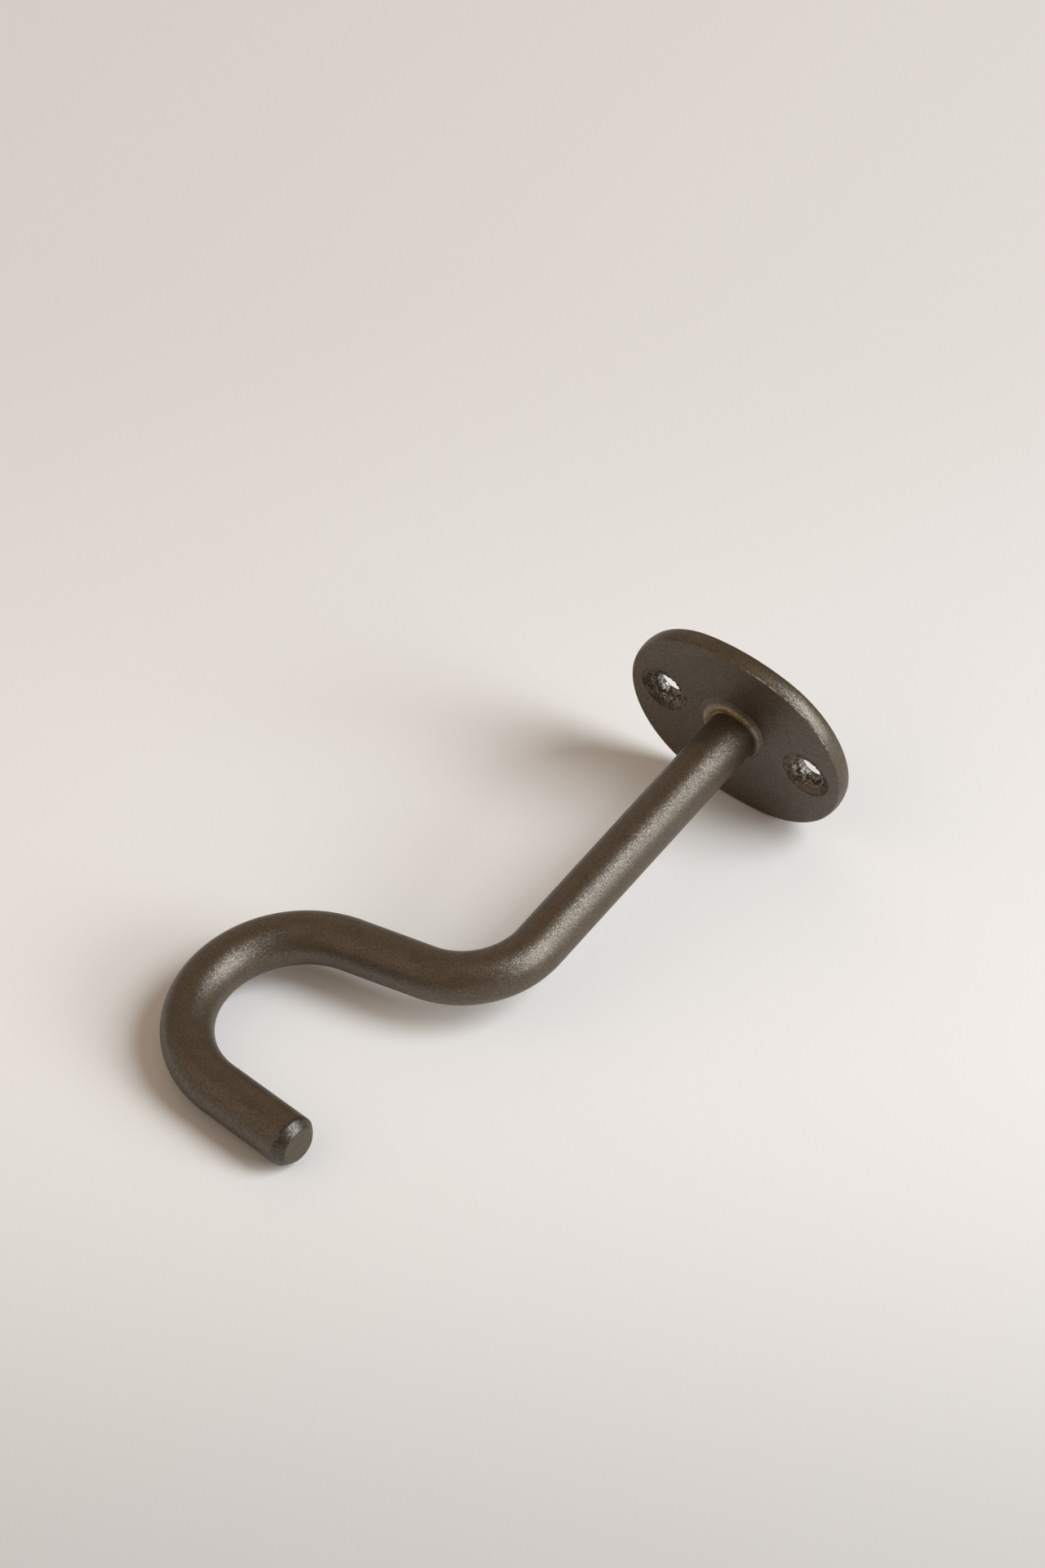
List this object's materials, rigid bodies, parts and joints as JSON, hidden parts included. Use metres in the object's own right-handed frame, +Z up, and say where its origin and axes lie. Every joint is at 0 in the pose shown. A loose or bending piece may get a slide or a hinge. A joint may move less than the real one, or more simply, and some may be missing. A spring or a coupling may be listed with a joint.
{
  "type": "curtain rod hook",
  "caption": "Round bar bent into a drop and an open hook that carries a curtain rod, welded square to an oval wall plate with two countersunk screw holes.",
  "frame": {"origin": "centre of the wall plate's back face, on the centre line of the bar's stem", "axes": "+X out from the wall along the stem, +Z up in use along the line of the two screws, +Y to the right as one faces the wall"},
  "size_m": [0.13, 0.04, 0.0745],
  "materials": {
    "powder_coat": "dark bronze powder coat with fine metal flake, satin, on steel"
  },
  "bodies": {
    "root": {"wall_plate": "powder_coat", "hook_bar": "powder_coat", "weld_bead": "powder_coat"}
  },
  "joints": []
}
